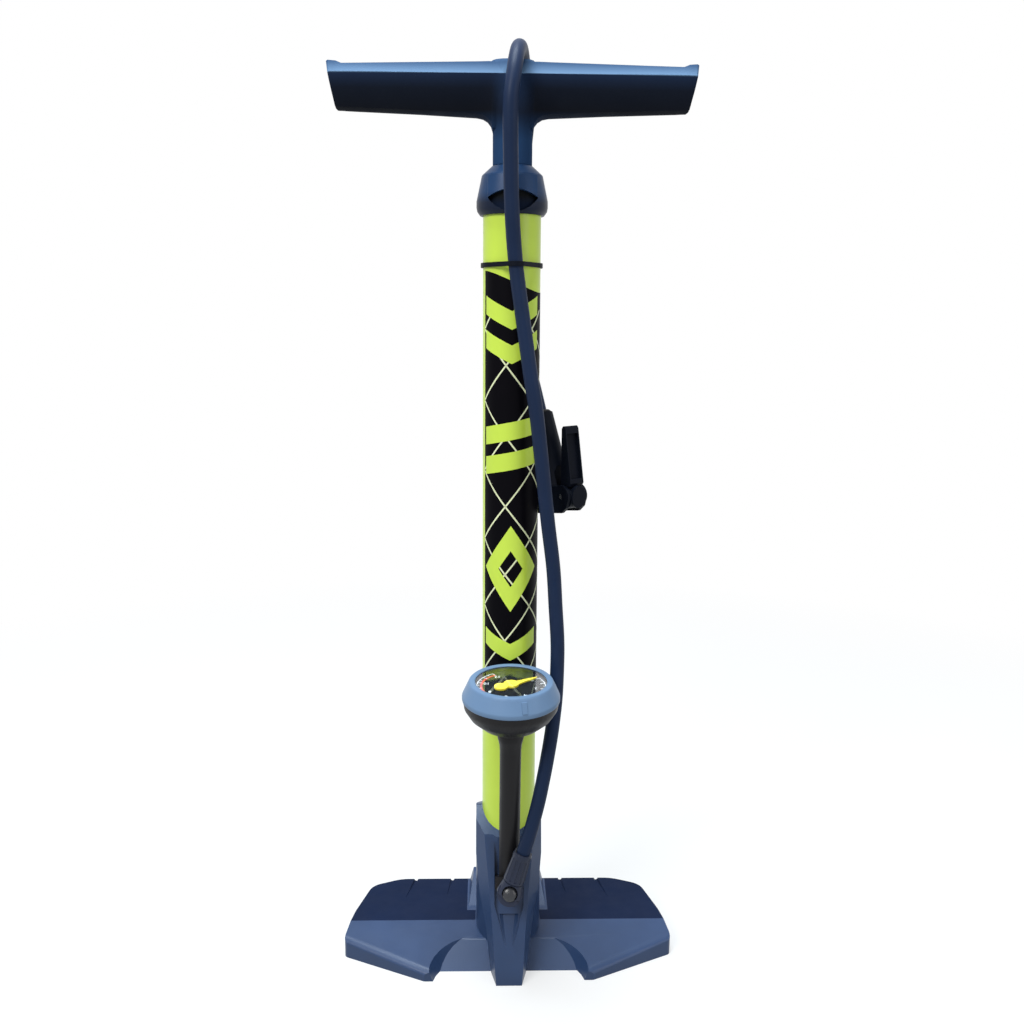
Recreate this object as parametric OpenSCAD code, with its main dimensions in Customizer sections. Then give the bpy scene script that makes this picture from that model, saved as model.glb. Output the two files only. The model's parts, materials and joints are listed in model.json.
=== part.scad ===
// A floor bike pump: a barrel on a two-winged foot, a T handle, a pressure gauge on a stem in front,
// and a hose that is stored over the handle with its lever chuck beside the barrel.
// Millimetres. The origin is on the floor under the barrel's axis, +Z is up, the gauge is towards -Y.

/* [Barrel] */
// Outer diameter of the barrel tube
barrel_d = 38; // [36:0.5:40]
// Wall of the barrel tube
barrel_wall = 1.5; // [1:0.1:2]
// Length of the barrel tube
barrel_len = 534; // [480:1:560]

/* [Foot] */
// Width of the foot across both wings
foot_w = 240; // [200:1:260]
// How far the toe of the foot reaches in front of the barrel's axis
toe_reach = 51; // [47:0.5:56]
// How far the wings reach behind the barrel's axis
rear_reach = 58; // [53:0.5:62]
// Height of the wings at their ridge
ridge_z = 18; // [17:0.5:20]
// Thickness of the tread on each wing
tread_t = 3; // [2.5:0.1:4]
// Height of the socket that holds the barrel
socket_h = 112; // [106:1:118]
// Wall of the socket around the barrel
socket_wall = 4.5; // [4.2:0.1:6]
// Height of the floor under the barrel
socket_floor = 13; // [12:0.5:15]

/* [Cap] */
// Largest radius of the barrel cap
cap_r = 23.3; // [22.8:0.1:24]
// Height of the barrel cap
cap_h = 31; // [30:0.5:34]
// Length of barrel inside the cap
cap_overlap = 22; // [18:0.5:23]

/* [Handle] */
// Width of the handle over its tips
handle_w = 235; // [200:1:250]
// Depth of the handle from front to back
handle_depth = 33; // [30:0.5:38]
// Radius of the handle's neck
neck_r = 12.8; // [12:0.1:14]
// Height of the handle's neck under the grips
neck_h = 29.5; // [26:0.5:32]
// Height of the grips at the middle
grip_h = 31.8; // [29:0.1:33]

/* [Rod and piston] */
// Diameter of the piston rod
rod_d = 12; // [10:0.5:13]
// Height of the piston
piston_h = 16; // [14:0.5:20]
// Height of the stop above the piston
bumper_h = 10; // [6:0.5:16]
// Stroke of the handle
stroke = 465; // [380:1:470]

/* [Gauge] */
// Radius of the gauge at its widest ring
bezel_r = 32.4; // [31.5:0.1:33]
// Radius of the window
window_r = 23.6; // [22:0.1:24]
// Height of the seam between the gauge's cup and its bezel
gauge_z = 213.7; // [210:0.1:218]
// Height of the bezel
bezel_h = 13.1; // [12.8:0.1:14]
// Height of the cup under the bezel
cup_h = 24.3; // [23.5:0.1:26]
// Forward tilt of the gauge
gauge_tilt = 4.4; // [0:0.1:8]
// Diameter of the gauge's stem
stem_d = 14.4; // [13:0.1:14.6]

/* [Hose] */
// Outer diameter of the hose
hose_d = 9.6; // [8.6:0.1:9.8]
// Bore of the hose
hose_bore = 5; // [4:0.1:5.5]

/* [Chuck] */
// Distance of the lever's pivot from the barrel's axis
chuck_x = 41; // [41:0.1:44]
// Height of the lever's pivot
chuck_z = 340.7; // [335:0.1:345]
// Turn of the chuck about the vertical
chuck_yaw = 50; // [50:0.5:54]
// Radius of the chuck's head
head_r = 11; // [10.4:0.1:11.4]
// Bore of the rubber that grips a tyre valve
valve_bore = 8; // [7.8:0.1:8.6]
// Length of the lever
lever_len = 48; // [40:0.5:54]

/* [Fits] */
// Clearance of pieces that slide or turn in each other
run_gap = 0.05; // [0.02:0.01:0.08]
// Clearance of pieces that are seated in each other
seat_gap = 0.05; // [0.02:0.01:0.1]

/* [Hidden] */
$fn = 72;
small = 36;
far = 400;

barrel_r = barrel_d / 2;
bore_r = barrel_r - barrel_wall;
gasket_t = 1;
barrel_z0 = socket_floor + gasket_t;
barrel_top = barrel_z0 + barrel_len;
socket_r = barrel_r + socket_wall;

// The wings: a ridge across the foot, a slope in front of it and a tread behind it
ridge_y = 1;
front_slope = 12;
wing_corner_x = foot_w / 4;
wing_corner_y = -45.5;
tip_front_y = -16;
scoop_y = -34.5;
scoop_slope = 38.5;
scoop_o = [22, -50];
scoop_r = [37, 34.5];
scoop_draft = 0.4;
edge_cuts = [[4.4, 34], [1.9, 62]];
rim_slope = 20;
block_hw = 30;
block_y = 14;
block_top = 30.5;
tread_in = socket_r + 0.7;

// The channel in the prow: its floor leans back from the groove point
groove_y = -toe_reach + 6.5;
groove_z = 27;
groove_tilt = 65;
groove_hw = 10.3;
groove_tip_r = 4;
groove_full = 27;
groove_back = barrel_r + 3.2;
groove_up = [0, cos(groove_tilt), sin(groove_tilt)];
groove_out = [0, -sin(groove_tilt), cos(groove_tilt)];
groove_o = [0, groove_y, groove_z];
// The hollow in the channel under the boss: its floor leans back further, and its sides have draft
hollow_tilt = 57;
hollow_top = 46;
hollow_tip_hw = 3.4;
hollow_hw = 6;
hollow_draft = 3.6;
// Front end of the air passage in the foot, under the prow
passage_y = -toe_reach + 26;

// Cap, bush and handle levels
cap_z0 = barrel_top - cap_overlap;
cap_top = cap_z0 + cap_h;
eye_z = cap_z0 + 9.9;
eye_hw = 16.1;
eye_up = 5.1;
eye_down = 9;
brow_hw = 15.9;
brow_t = 1.3;
bush_r = 9;
handle_gap = 0.4;
handle_z0 = cap_top + handle_gap;
grip_z0 = handle_z0 + neck_h;
grip_top = grip_z0 + grip_h;
grip_crease = grip_top - 8.2;
hub_top = grip_top + 1.8;
neck_pin_z = handle_z0 + 13;

// Foot plug, check valve and piston levels
plug_h = 12;
plug_top = socket_floor + plug_h;
plug_r = bore_r - seat_gap;
chamber_r = 6;
seat_z = plug_top - 4;
poppet_gap = 0.03;
screw_ring = 11.2;
rod_r = rod_d / 2;
spigot_r = 4;
nut_z0 = plug_top + 1;
nut_h = 5;
washer_t = 1.2;
piston_z0 = nut_z0 + nut_h + washer_t;
piston_top = piston_z0 + piston_h;
piston_r = bore_r - 0.35;
ring_r = 1.9;
rod_top = grip_z0 + 16;
bumper_top = piston_top + bumper_h;
bush_foot = min(barrel_top - 8, bumper_top + stroke + 40);

// Gauge levels and the axis of its leaning stem
gauge_clear = 2.1;
gauge_y = -(barrel_r + gauge_clear + bezel_r);
cup_z0 = gauge_z - cup_h;
bezel_top = gauge_z + bezel_h;
lens_lip = 0.7;
lens_top = bezel_top - lens_lip;
lens_t = 1.5;
lens_seal = 0.8;
dial_t = 1;
dial_z = lens_top - lens_t - lens_seal - 1.9 - dial_t;
needle_z = dial_z + dial_t + 0.5;
needle_t = 1.5;
needle_rest = 32;
inner_r = 25.9;
plate_z = gauge_z - 9.5;
plate_t = 1.5;
bridge_z = gauge_z + 0.4;
arbor_x = -18;
pinion_r = 3;
sector_r = 15;
tooth_m = 0.6;
seat_in = 24.6;
frame_r = 20;
bridge_r = 19.5;
pillar_r = 1.3;
pillar_ring = 17.2;
arbor_r = 1;
window_cut_r = 3.5;
window_cut_ring = 10;
tube_in = 19.9;
tube_t = 2.8;
tube_h = 5.8;
tube_drop = 6.6;
tube_block = [5.4, 6, 7];
stem_r = stem_d / 2;
stem_foot = groove_o + 40 * groove_up + 2.5 * groove_out;
stem_head = [0, gauge_y + cup_h * sin(gauge_tilt), gauge_z - cup_h * cos(gauge_tilt)];
stem_lean = atan2(stem_foot.y - stem_head.y, stem_head.z - stem_foot.z);
stem_len = norm(stem_head - stem_foot);

// Elbow, nut and the ends of the hose
manifold_t = 16.7;
manifold_r = 8.4;
boss_up = 37.1;
boss_r = 8.6;
boss_t = 9;
elbow_o = groove_o + boss_up * groove_up + (manifold_t + seat_gap + boss_t / 2) * groove_out;
elbow_lean = 17;
elbow_dir = [sin(elbow_lean), 0, cos(elbow_lean)];
stub_len = 18;
nut_from = 9.5;
nut_to = 32;
nut_taper = 3.5;
rib_from = 2.4;
rib_to = 18.4;
hose_r = hose_d / 2;

// Chuck: its own frame has the lever's pivot at the origin and the mouth towards -x
mouth_x = -35.5;
shank_foot = [-12, 0, 4];
shank_top = [-30.4, 0, 53.6];
shank_r = [9.6, 8.6];
shank_dir = (shank_top - shank_foot) / norm(shank_top - shank_foot);
shank_lean = atan2(shank_foot.x - shank_top.x, shank_top.z - shank_foot.z);
ear_in = 6.6;
ear_t = 2.6;
ear_r = 7.8;
pin_r = 1.5;
cam_r = 7.5;
cam_off = 1;
chamber_x0 = -32;
guide_r = 7.2;

function chuck_dir(v) = [
    v.x * cos(chuck_yaw) + v.y * sin(chuck_yaw),
    -v.x * sin(chuck_yaw) + v.y * cos(chuck_yaw),
    v.z];
function chuck_pt(v) = [chuck_x, 0, chuck_z] + chuck_dir(v);

// Route of the hose from the elbow's stub, past the gauge, over the handle and down to the chuck
hose_route = concat(
    [for (d = [stub_len + 0.1, nut_to, nut_to + 12]) elbow_o + d * elbow_dir],
    [[16, -47.5, 123], [19.5, -46, 137], [22.5, -44, 151.5], [25.5, -41, 167], [28.5, -37, 184.5],
     [31, -32.5, 205], [32, -29, 225], [32, -28, 245], [30.5, -27, 268], [28.5, -27, 296],
     [24.5, -27, 327], [20.5, -27, 362], [16, -26.5, 400], [12, -26, 424], [8.2, -25.5, 450],
     [5, -24.8, 472], [3, -24.3, 486], [1.8, -24.2, 496], [0.6, -25.6, 508], [-0.4, -28.4, 521],
     [-1.2, -30, 536], [-1.8, -33, 556], [-2.2, -36, 578], [-2, -37, 592]],
    [for (a = [15:15:165]) [-2 + 13.6 * a / 180, -37 * cos(a), 592 + 37 * sin(a)]],
    [[11, 37, 592], [9.2, 35.5, 572], [9.2, 32, 552], [9.8, 28, 534], [10.6, 24, 514],
     [11, 21.7, 500], [11, 21.7, 490], [11.2, 23.4, 474], [11.6, 26.4, 454], [12.6, 29.2, 438],
     [14.6, 29.8, 423]],
    [for (d = [16, 6, 0.1]) chuck_pt(shank_top + d * shank_dir)]);
tie_front = [2, -24.3];
tie_back = [11, 21.7];
tie_drop = 33;
tie_z = cap_z0 - tie_drop;
tie_h = 3;

function unit(v) = v / norm(v);

// Points of an arc that rounds the corner at b between a and c
function corner_arc(a, b, c, r, n) =
    let (u = unit(a - b), w = unit(c - b), half = acos(u * w) / 2,
         o = b + unit(u + w) * r / sin(half),
         p = b + u * r / tan(half) - o,
         q = b + w * r / tan(half) - o,
         a0 = atan2(p.y, p.x),
         d = (atan2(q.y, q.x) - a0 + 540) % 360 - 180)
    [for (i = [0:n]) o + r * [cos(a0 + d * i / n), sin(a0 + d * i / n)]];

function flat(p) = [p.x, p.y];

// A list of [x, y, radius] as an outline with rounded corners
function rounded(pts, n = 6) =
    let (m = len(pts))
    [for (i = [0:m - 1])
        each pts[i][2] > 0
            ? corner_arc(flat(pts[(i + m - 1) % m]), flat(pts[i]), flat(pts[(i + 1) % m]), pts[i][2], n)
            : [flat(pts[i])]];

// A solid through rings of equal point count
module loft(rings) {
    n = len(rings[0]);
    m = len(rings);
    polyhedron(
        points = [for (r = rings) each r],
        faces = concat(
            [[for (i = [0:n - 1]) i]],
            [for (k = [0:m - 2], i = [0:n - 1])
                each [[k * n + i, (k + 1) * n + (i + 1) % n, k * n + (i + 1) % n],
                      [k * n + i, (k + 1) * n + i, (k + 1) * n + (i + 1) % n]]],
            [[for (i = [n - 1:-1:0]) (m - 1) * n + i]]));
}

function tangent(p, i) =
    unit(p[min(i + 1, len(p) - 1)] - p[max(i - 1, 0)]);

// Ring of a swept tube about point i of a path, turned from the direction ref
function sweep_ring(p, i, r, sides, ref) =
    let (t = tangent(p, i), n = unit(ref - (ref * t) * t), b = cross(t, n))
    [for (k = [0:sides - 1]) p[i] + r * (cos(360 * k / sides) * n + sin(360 * k / sides) * b)];

module sweep(p, r, sides, ref) {
    loft([for (i = [0:len(p) - 1]) sweep_ring(p, i, r, sides, ref)]);
}

// A swept tube with a bore
module tube_sweep(p, r, bore, sides, ref) {
    m = len(p);
    n = sides;
    outer = [for (i = [0:m - 1]) each sweep_ring(p, i, r, n, ref)];
    inner = [for (i = [0:m - 1]) each sweep_ring(p, i, bore, n, ref)];
    s = m * n;
    polyhedron(
        points = concat(outer, inner),
        faces = concat(
            [for (k = [0:m - 2], i = [0:n - 1])
                let (j = (i + 1) % n, a = k * n + i, b = k * n + j, c = a + n, d = b + n)
                each [[a, d, b], [a, c, d], [s + a, s + b, s + d], [s + a, s + d, s + c]]],
            [for (i = [0:n - 1])
                let (j = (i + 1) % n, e = (m - 1) * n)
                each [[i, j, s + j], [i, s + j, s + i],
                      [e + i, s + e + j, e + j], [e + i, s + e + i, s + e + j]]]));
}

// A cylinder from point a to point b
module rod_between(a, b, r, n = small) {
    v = b - a;
    translate(a)
        rotate([0, acos(v.z / norm(v)), atan2(v.y, v.x)])
            cylinder(r = r, h = norm(v), $fn = n);
}

module ring(r_out, r_in, z0, z1, n = $fn) {
    translate([0, 0, z0])
        difference() {
            cylinder(r = r_out, h = z1 - z0, $fn = n);
            translate([0, 0, -1]) cylinder(r = r_in, h = z1 - z0 + 2, $fn = n);
        }
}

module at_gauge() {
    translate([0, gauge_y, gauge_z]) rotate([gauge_tilt, 0, 0]) translate([0, 0, -gauge_z]) children();
}

module at_groove() {
    translate(groove_o) rotate([groove_tilt, 0, 0]) children();
}

module at_stem() {
    translate(stem_foot) rotate([stem_lean, 0, 0]) children();
}

module at_stub() {
    translate(elbow_o) rotate([0, elbow_lean, 0]) children();
}

module at_boss() {
    translate(elbow_o) rotate([groove_tilt, 0, 0]) children();
}

module at_chuck() {
    translate([chuck_x, 0, chuck_z]) rotate([0, 0, -chuck_yaw]) children();
}

module at_shank() {
    at_chuck() translate(shank_foot) rotate([0, -shank_lean, 0]) children();
}

// Outline of the foot on the floor
wing = [
    [wing_corner_x, wing_corner_y, 5],
    [foot_w / 2, tip_front_y, 4],
    [foot_w / 2 - 5, 14, 40],
    [foot_w / 2 - 14, rear_reach - 9.5, 14],
    [foot_w / 2 - 36, rear_reach, 30]];
foot_outline = rounded(concat(
    wing,
    [for (i = [len(wing) - 1:-1:0]) [-wing[i].x, wing[i].y, wing[i][2]]]));

// Levels of the prow: height, front, half width of the front face, half width and start of the side
prow = [
    [0, -toe_reach, 9, 12.5, -36],
    [12, -toe_reach + 1, 10, 14, -36],
    [34, -toe_reach + 8.4, 11.4, 16.4, -31],
    [58, -toe_reach + 16, 13.4, 21, -25],
    [82, -toe_reach + 24.6, 16, socket_r, -16],
    [socket_h + 4, -toe_reach + 37, 19, socket_r, -8]];

// Levels of the sloping block on both sides of the socket: height, half width, front and rear
block = [
    [0, block_hw, block_y - 6, rear_reach - 2],
    [ridge_z - tread_t, block_hw, block_y, rear_reach - 2.5],
    [block_top, block_hw - 4, rear_reach - 12, rear_reach - 4]];

module wing_plate() {
    linear_extrude(ridge_z) polygon(foot_outline);
}

module tread_area(gap) {
    intersection() {
        linear_extrude(ridge_z + 10) polygon(foot_outline);
        translate([tread_in - gap, ridge_y, ridge_z - tread_t]) cube([far, far, far]);
    }
}

module tread_notch() {
    translate([-1, block_y - 0.3, -1]) cube([block_hw + 1.6, far, far]);
}

module tread_groove(rear, front) {
    v = front - rear;
    translate([rear.x, rear.y, ridge_z])
        rotate([0, 90, atan2(v.y, v.x)])
            translate([0, 0, -4]) cylinder(r1 = 1.6, r2 = 0.15, h = norm(v) + 4, $fn = small);
}

module tread() {
    difference() {
        tread_area(0);
        translate([-far, -far, ridge_z]) cube([2 * far, 2 * far, far]);
        tread_notch();
        tread_groove([foot_w * 0.18, rear_reach - 1], [foot_w * 0.194, rear_reach - 24]);
        tread_groove([foot_w * 0.302, rear_reach - 2], [foot_w * 0.327, rear_reach - 27]);
    }
}

// Cells of the ribbed underside of one wing
module wing_cells() {
    pitch = (foot_w / 2 - 14 - block_hw) / 3;
    for (i = [0:2], j = [0:1])
        translate([block_hw + 2 + i * pitch, j == 0 ? -9 : 20, -1])
            cube([pitch - 3, j == 0 ? 26 : (i == 2 ? rear_reach - 40 : rear_reach - 26),
                  ridge_z - tread_t - 3]);
}

// Outline of the hollow at a height: round ends that open upwards
function scoop_ring(z) =
    let (r = scoop_r + scoop_draft * (z - ridge_z * 0.7) * [1, 1])
    concat(
        [for (a = [-40:10:90]) [scoop_o.x + r.x * cos(a), scoop_o.y + r.y * sin(a), z]],
        [for (a = [90:10:220]) [r.x * cos(a) - scoop_o.x, scoop_o.y + r.y * sin(a), z]]);

// The hollow in front of the wings: an apron that rises to the ridge, with round ends
module scoop() {
    intersection() {
        translate([0, scoop_y, 0]) rotate([scoop_slope, 0, 0])
            translate([-far, -far, 0]) cube([2 * far, 2 * far, far]);
        loft([scoop_ring(-1), scoop_ring(ridge_z + 2)]);
    }
}

function wing_z(y) = ridge_z - (ridge_y - y) * tan(front_slope);

// The eased front edge of one wing, as steps of growing slope
module wing_edge() {
    from = [wing_corner_x, wing_corner_y, wing_z(wing_corner_y)];
    run = [foot_w / 2, tip_front_y, wing_z(tip_front_y)] - from;
    heading = atan2(run.y, run.x);
    translate(from) rotate([0, -asin(run.z / norm(run)), heading])
        for (e = edge_cuts)
            translate([0, e[0], e[0] * tan(front_slope) * cos(heading)])
                rotate([e[1], 0, 0])
                    translate([-norm(run) / 4, -norm(run) / 2, 0])
                        cube([norm(run) * 1.5, norm(run) / 2, norm(run) / 2]);
}

// Half width and floor of the hollow at one height, with its open side in front of the prow
function hollow_ring(z, hw) =
    let (floor_y = groove_y + (z - groove_z) / tan(hollow_tilt),
         open_y = groove_y + (z - groove_z) / tan(groove_tilt) - 8)
    [[-hw - hollow_draft, open_y, z], [hw + hollow_draft, open_y, z], [hw, floor_y - 1.6, z],
     [hw - 1.6, floor_y, z], [1.6 - hw, floor_y, z], [-hw, floor_y - 1.6, z]];

module base_foot() {
    color("#26324a")
    difference() {
        union() {
            difference() {
                wing_plate();
                translate([0, ridge_y, ridge_z]) rotate([front_slope, 0, 0])
                    translate([-far, -far, 0]) cube([2 * far, far, far]);
                for (s = [0, 1]) mirror([s, 0, 0]) {
                    difference() {
                        tread_area(0.1);
                        tread_notch();
                    }
                    wing_cells();
                    wing_edge();
                }
                scoop();
            }
            cylinder(r = socket_r, h = socket_h + 3);
            loft([for (p = prow)
                [[1.2 - p[3], 5, p[0]], [-p[3], p[4], p[0]], [-p[2], p[1], p[0]],
                 [p[2], p[1], p[0]], [p[3], p[4], p[0]], [p[3] - 1.2, 5, p[0]]]]);
            loft([for (k = block)
                [[-k[1], k[2], k[0]], [k[1], k[2], k[0]], [k[1], k[3], k[0]], [-k[1], k[3], k[0]]]]);
        }
        translate([0, -2, socket_h]) rotate([36, 0, 0])
            translate([-far, -far, 0]) cube([2 * far, far, far]);
        translate([0, 1, socket_h]) rotate([-rim_slope, 0, 0])
            translate([-far, 0, 0]) cube([2 * far, far, far]);
        translate([-far, -far, socket_h]) cube([2 * far, 2 * far, far]);
        translate([0, 0, socket_floor]) cylinder(r = barrel_r + seat_gap, h = far);
        intersection() {
            at_groove()
                linear_extrude(toe_reach + groove_back)
                    polygon(concat(
                        [for (a = [190:20:350]) groove_tip_r * [cos(a), 1 + sin(a)]],
                        [[groove_tip_r + 1, 2 * groove_tip_r], [groove_hw, groove_full],
                         [groove_hw, socket_h], [-groove_hw, socket_h], [-groove_hw, groove_full],
                         [-groove_tip_r - 1, 2 * groove_tip_r]]));
            translate([-far, -far - groove_back, -far]) cube([2 * far, far, 2 * far]);
        }
        loft([hollow_ring(groove_z - 2, hollow_tip_hw), hollow_ring(hollow_top, hollow_hw)]);
        at_stem() cylinder(r = stem_r + seat_gap, h = stem_len / 2, $fn = 48);
        rod_between([0, -3, 6.5], [0, -3, socket_floor + 1], 2.4);
        rod_between([0, -1, 7], [0, passage_y - 1, 7], 2.1);
        rod_between([0, passage_y, 6], groove_o + 39 * groove_up + 3 * groove_out, 1.8);
        for (a = [30, 150, 270]) rotate(a) translate([0, screw_ring, -1]) {
            cylinder(r = 2.1, h = socket_floor + 2, $fn = small);
            cylinder(r = 3.8, h = 6, $fn = small);
        }
    }
}

module left_tread() {
    color("#161d2b") mirror([1, 0, 0]) tread();
}

module right_tread() {
    color("#161d2b") tread();
}

module barrel() {
    color("#c9e34a") ring(barrel_r, bore_r, barrel_z0, barrel_top);
}

module barrel_gasket() {
    color("#20211f") ring(barrel_r - 0.05, bore_r + 0.05, socket_floor, barrel_z0);
}

module foot_plug() {
    color("#3a3f46")
    difference() {
        translate([0, 0, socket_floor]) cylinder(r = plug_r, h = plug_h);
        translate([0, 0, socket_floor - 1])
            cylinder(r = chamber_r, h = seat_z - socket_floor + 1, $fn = small);
        translate([0, 0, seat_z - 1]) cylinder(r = 3, h = far, $fn = small);
        ring(far, plug_r - 2.4, socket_floor + 4.2, socket_floor + 7.8);
        for (a = [30, 150, 270]) rotate(a) translate([0, screw_ring, socket_floor - 1])
            cylinder(r = 1.9 + seat_gap, h = 10, $fn = small);
    }
}

module plug_seal() {
    color("#20211f")
    translate([0, 0, socket_floor + 6])
        rotate_extrude() translate([bore_r - 0.05 - 1.2, 0]) circle(r = 1.2, $fn = 20);
}

module plug_screws() {
    color("#b9bdc2")
    for (a = [30, 150, 270]) rotate(a) translate([0, screw_ring, 0])
        difference() {
            union() {
                translate([0, 0, 2]) cylinder(r = 3.5, h = 3, $fn = small);
                translate([0, 0, 4]) cylinder(r = 1.9, h = socket_floor + 3.5, $fn = small);
            }
            translate([0, 0, 1]) cylinder(r = 1.7, h = 2.6, $fn = 6);
        }
}

module valve_poppet() {
    color("#8a3b30")
    translate([0, 0, seat_z - poppet_gap]) {
        translate([0, 0, -2]) cylinder(r = chamber_r - 1, h = 2, $fn = small);
        translate([0, 0, -5]) cylinder(r = 1.4, h = 4, $fn = small);
    }
}

module valve_spring() {
    color("#b9bdc2")
    sweep([for (a = [0:20:1260])
        [3.2 * cos(a), 3.2 * sin(a),
         socket_floor + 0.6 + (seat_z - poppet_gap - 2.65 - socket_floor - 0.6) * a / 1260]],
        0.5, 8, [0, 0, 1]);
}

function cap_profile(grow) = [
    [barrel_r + seat_gap, cap_z0], [cap_r - 2.4 + grow, cap_z0], [cap_r - 0.5 + grow, cap_z0 + 2.6],
    [cap_r + grow, cap_z0 + 5], [cap_r + grow, cap_z0 + 9], [barrel_r + 0.9 + grow, cap_top - 6.2],
    [barrel_r + 0.5 + grow, cap_top - 5.6], [neck_r + 0.9, cap_top - 0.4], [neck_r + 0.5, cap_top],
    [bush_r + seat_gap, cap_top], [bush_r + seat_gap, barrel_top], [barrel_r + seat_gap, barrel_top]];

// Points of an arc over a chord of half width hw, from its right end to its left end
function arc_over(hw, rise, n = 10) =
    let (r = (hw * hw + rise * rise) / (2 * rise), half = asin(hw / r))
    [for (i = [0:n]) let (t = half * (1 - 2 * i / n)) [r * sin(t), r * cos(t) - r + rise]];

// Pushes an outline forwards through the front of the cap
module cap_front() {
    translate([0, 0, eye_z]) rotate([90, 0, 0]) linear_extrude(2 * cap_r) children();
}

module barrel_cap() {
    low = arc_over(eye_hw, eye_down);
    color("#26324a")
    difference() {
        union() {
            rotate_extrude() polygon(cap_profile(0));
            intersection() {
                rotate_extrude() polygon(cap_profile(brow_t));
                cap_front() translate([-brow_hw, 0]) square([2 * brow_hw, cap_top - 6.8 - eye_z]);
            }
        }
        intersection() {
            ring(2 * cap_r, barrel_r + 1.4, cap_z0 - 1, cap_top);
            cap_front()
                polygon(concat(arc_over(eye_hw, eye_up), [for (i = [1:len(low) - 2]) -low[i]]));
        }
    }
}

module rod_bush() {
    color("#d9dbd6")
    difference() {
        union() {
            translate([0, 0, barrel_top - 4]) cylinder(r = bore_r - 0.1, h = 3.95);
            translate([0, 0, bush_foot]) cylinder(r = rod_r + 4, h = barrel_top - bush_foot - 3, $fn = 48);
            translate([0, 0, barrel_top - 1]) cylinder(r = bush_r, h = cap_top - barrel_top - 2, $fn = 48);
        }
        translate([0, 0, bush_foot - 1]) cylinder(r = rod_r + run_gap, h = far, $fn = 48);
    }
}

module rod_wiper() {
    color("#20211f") ring(bush_r, rod_r + run_gap, cap_top - 2.9, cap_top - 0.2, 48);
}

// Underside of a grip: parts of its half depth, and of the drop from its crease to its bottom
grip_under = [[0.15, 1], [0.42, 0.94], [0.66, 0.64], [0.84, 0.42], [0.95, 0.21], [0.985, 0.04], [1, 0]];
grip_flat = 0.66;
grip_d = handle_depth / 2;
grip_end = handle_w / 2;

// Stations along a grip: x at the top and at the bottom, rise of the top, the crease and the bottom,
// and the part of the full depth
grip_side = [
    [neck_r, neck_r, 0, 0, -9, 1],
    [neck_r + 1.2, neck_r + 1.2, 0, 0, -5.2, 1],
    [neck_r + 3.2, neck_r + 3.2, 0, 0, -2.6, 1],
    [neck_r + 6.2, neck_r + 6.2, -0.1, 0, -0.8, 1],
    [neck_r + 10.2, neck_r + 10.2, -0.2, 0, 0, 0.99],
    [58, 58, -0.9, 0.2, 1.7, 0.95],
    [88, 88, -1.5, 0.4, 2.8, 0.92],
    [grip_end - 9.5, grip_end - 12, -1.8, 0.5, 3.4, 0.89],
    [grip_end - 6, grip_end - 9, -0.4, 0.5, 3.6, 0.88],
    [grip_end - 1, grip_end - 5.6, 0, 0.5, 3.7, 0.86],
    [grip_end, grip_end - 4.6, -0.6, 0, 4.4, 0.82]];

function grip_ring(g, side) =
    let (zt = grip_top + g[2], zc = grip_crease + g[3], zb = grip_z0 + g[4], d = grip_d * g[5],
         half = concat([for (p = grip_under) [p.x * d, zc - p.y * (zc - zb)]], [[grip_flat * d, zt]]),
         all = concat(half, [for (i = [len(half) - 1:-1:0]) [-half[i].x, half[i].y]]))
    [for (p = all) [side * (g[1] + (g[0] - g[1]) * (p.y - zb) / (zt - zb)), p.x, p.y]];

// Levels of the hub: height, half width, half depth, and how square its outline is
hub = [
    [grip_z0 - 11, neck_r - 0.5, neck_r - 0.5, 2],
    [grip_z0 - 7, neck_r - 0.2, neck_r - 0.2, 2],
    [grip_z0 - 3, neck_r + 0.8, neck_r + 0.5, 2.1],
    [grip_z0 + 4, 16, 14.4, 2.3],
    [grip_z0 + 10, 17, 15.6, 2.5],
    [grip_crease, 16, grip_d + 0.5, 2.7],
    [hub_top - 2, 14.5, grip_d - 3, 2.8],
    [hub_top, 13.8, grip_d - 5.5, 2.8]];

function hub_ring(h) = [
    for (a = [0:15:345])
        let (k = pow(pow(abs(cos(a)), h[3]) + pow(abs(sin(a)), h[3]), -1 / h[3]))
        [h[1] * k * cos(a), h[2] * k * sin(a), h[0]]];

module handle() {
    color("#26324a")
    difference() {
        union() {
            loft(concat(
                [for (i = [len(grip_side) - 1:-1:0]) grip_ring(grip_side[i], -1)],
                [for (g = grip_side) grip_ring(g, 1)]));
            translate([0, 0, handle_z0]) cylinder(r = neck_r, h = neck_h + 8);
            loft([for (h = hub) hub_ring(h)]);
        }
        translate([0, 0, handle_z0 - 1])
            cylinder(r = rod_r + seat_gap, h = rod_top - handle_z0 + 1.1, $fn = 48);
        translate([0, 0, neck_pin_z]) rotate([90, 0, 0])
            cylinder(r = 2 + seat_gap, h = 4 * neck_r, center = true, $fn = small);
        translate([3.2, 0, hub_top + 4]) rotate([90, 0, 0])
            cylinder(r = hose_r + 0.7, h = 2 * handle_depth, center = true, $fn = small);
    }
}

module handle_pin() {
    color("#b9bdc2")
    translate([0, 0, neck_pin_z]) rotate([90, 0, 0])
        cylinder(r = 2, h = 2 * neck_r - 1.6, center = true, $fn = small);
}

module rod() {
    color("#c6cacf")
    difference() {
        union() {
            translate([0, 0, piston_top]) cylinder(r = rod_r, h = rod_top - piston_top, $fn = 48);
            translate([0, 0, nut_z0 + 0.2]) cylinder(r = spigot_r, h = piston_h + 10, $fn = small);
        }
        translate([0, 0, piston_top + 12]) cylinder(r = rod_r - 1.5, h = far * 3, $fn = small);
        translate([0, 0, neck_pin_z]) rotate([90, 0, 0])
            cylinder(r = 2 + seat_gap, h = 4 * neck_r, center = true, $fn = small);
    }
}

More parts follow.
